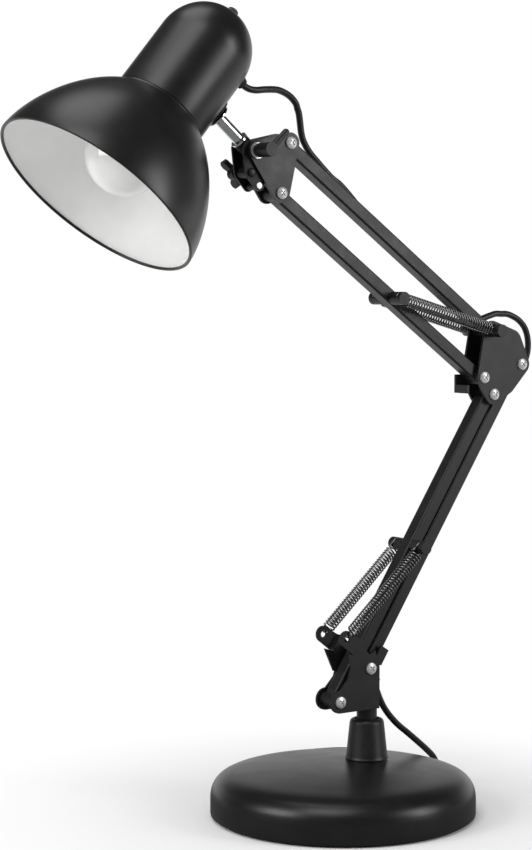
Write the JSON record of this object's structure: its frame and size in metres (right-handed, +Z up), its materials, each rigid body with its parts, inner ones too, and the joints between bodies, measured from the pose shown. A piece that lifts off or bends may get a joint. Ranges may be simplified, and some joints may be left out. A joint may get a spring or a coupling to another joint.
{
  "type": "swing-arm desk lamp",
  "caption": "Swing-arm desk lamp: bowl shade with a globe bulb, twin-bar sprung arms, swivel post and a round weighted base.",
  "frame": {"origin": "centre of the underside of the round base", "axes": "+Z up, -X from the arm towards the shade, -Y the side with the tilt lever, which the picture shows"},
  "size_m": [0.4678, 0.2629, 0.5988],
  "materials": {
    "black_paint": "satin",
    "black_plastic": "satin",
    "zinc_steel": "satin",
    "chrome": "polished",
    "spring_steel": "polished",
    "cast_iron": "matte",
    "rubber": "matte",
    "porcelain": "gloss",
    "white_glass": "gloss",
    "cord_vinyl": "satin",
    "brass": "satin"
  },
  "bodies": {
    "base": {"base_shell": "black_paint", "base_ballast": "cast_iron", "base_plate": "zinc_steel", "foot_pad": "rubber", "plate_screws": "zinc_steel", "collar": "black_plastic", "collar_bolt": "zinc_steel", "mains_lead": "cord_vinyl", "lead_coil": "cord_vinyl", "lead_ties": "black_plastic", "plug_cord": "cord_vinyl", "plug_body": "black_plastic", "plug_pins": "brass"},
    "turret": {"post": "black_paint", "base_bracket": "black_paint", "base_screws": "zinc_steel", "base_nuts": "zinc_steel", "cord_clip": "black_plastic", "bracket_cord": "cord_vinyl", "lower_springs": "spring_steel"},
    "rear_arm": {"rear_arm_tube": "black_paint", "rear_arm_eyes": "black_plastic", "rear_cord": "cord_vinyl"},
    "front_arm": {"front_arm_tube": "black_paint", "front_arm_eyes": "black_plastic", "lower_spring_pin": "black_plastic"},
    "elbow": {"elbow_bracket": "black_paint", "elbow_screws": "zinc_steel", "elbow_nuts": "zinc_steel", "elbow_spring_pin": "black_plastic", "upper_springs": "spring_steel"},
    "top_arm": {"top_arm_tube": "black_paint", "top_arm_eyes": "black_plastic", "elbow_cord": "cord_vinyl"},
    "under_arm": {"under_arm_tube": "black_paint", "under_arm_eyes": "black_plastic", "upper_spring_pin": "black_plastic"},
    "head": {"head_plates": "black_paint", "head_screws": "zinc_steel", "head_nuts": "zinc_steel", "tilt_bolt": "chrome", "head_cord": "cord_vinyl"},
    "lever": {"tilt_lever": "black_plastic"},
    "knuckle": {"knuckle_yoke": "black_paint", "rod_socket": "black_plastic", "yoke_fasteners": "zinc_steel", "knuckle_cord": "cord_vinyl"},
    "wing": {"wing_nut": "black_plastic"},
    "shade": {"shade_rod": "chrome", "rod_rings": "chrome", "rod_saddle": "black_plastic", "shade_bowl": "black_paint", "neck_housing": "black_paint", "socket_bracket": "zinc_steel", "lamp_socket": "porcelain", "bulb": "white_glass", "cord_grommet": "rubber", "switch_body": "black_plastic", "shade_cord": "cord_vinyl"},
    "knob": {"switch_knob": "black_plastic"}
  },
  "joints": [
    {"name": "base_swivel", "type": "hinge", "parent": "base", "child": "turret", "pos_m": [0.032, 0.013, 0.06], "axis": [0, 0, 1], "range_deg": [-170, 170], "deforming": ["mains_lead"]},
    {"name": "lower_arm_lean", "type": "hinge", "parent": "turret", "child": "rear_arm", "pos_m": [0.028, 0.013, 0.108], "axis": [0, -1, 0], "range_deg": [-0.5, 68], "deforming": ["bracket_cord", "lower_springs"]},
    {"name": "front_arm_lean", "type": "hinge", "parent": "turret", "child": "front_arm", "pos_m": [-0.0005, 0.013, 0.085], "axis": [0, -1, 0], "range_deg": [-0.6, 68.1]},
    {"name": "elbow_turn", "type": "hinge", "parent": "rear_arm", "child": "elbow", "pos_m": [0.17654, 0.013, 0.33586], "axis": [0, -1, 0], "range_deg": [-68.1, 0.6], "deforming": ["rear_cord"]},
    {"name": "upper_arm_rise", "type": "hinge", "parent": "elbow", "child": "top_arm", "pos_m": [0.14644, 0.013, 0.36276], "axis": [0, -1, 0], "range_deg": [-48, 38], "deforming": ["elbow_cord", "upper_springs"]},
    {"name": "under_arm_rise", "type": "hinge", "parent": "elbow", "child": "under_arm", "pos_m": [0.13814, 0.013, 0.32626], "axis": [0, -1, 0], "range_deg": [-48.1, 38.1]},
    {"name": "head_turn", "type": "hinge", "parent": "top_arm", "child": "head", "pos_m": [-0.04554, 0.013, 0.50173], "axis": [0, -1, 0], "range_deg": [-38.1, 48.1], "deforming": ["head_cord"]},
    {"name": "head_tilt", "type": "hinge", "parent": "head", "child": "knuckle", "pos_m": [-0.07484, 0.013, 0.49523], "axis": [0, -1, 0], "range_deg": [-60, 6], "deforming": ["knuckle_cord"]},
    {"name": "tilt_lever_turn", "type": "hinge", "parent": "head", "child": "lever", "pos_m": [-0.07484, -0.007, 0.49523], "axis": [0, -1, 0], "range_deg": [-90, 90]},
    {"name": "wing_nut_turn", "type": "hinge", "parent": "knuckle", "child": "wing", "pos_m": [-0.07851, 0.027, 0.47946], "axis": [0, -1, 0], "range_deg": [-180, 180]},
    {"name": "shade_pan", "type": "hinge", "parent": "knuckle", "child": "shade", "pos_m": [-0.07484, 0.013, 0.49523], "axis": [-0.7627, 0, 0.6468], "range_deg": [-170, 170], "deforming": ["shade_cord"]},
    {"name": "switch_knob_turn", "type": "hinge", "parent": "shade", "child": "knob", "pos_m": [-0.09171, 0.013, 0.59083], "axis": [0.6468, 0, 0.7627], "continuous": true}
  ],
  "couplings": [
    {"joint": "front_arm_lean", "follows": "lower_arm_lean", "ratio": 1},
    {"joint": "elbow_turn", "follows": "lower_arm_lean", "ratio": -1},
    {"joint": "under_arm_rise", "follows": "upper_arm_rise", "ratio": 1},
    {"joint": "head_turn", "follows": "upper_arm_rise", "ratio": -1}
  ]
}
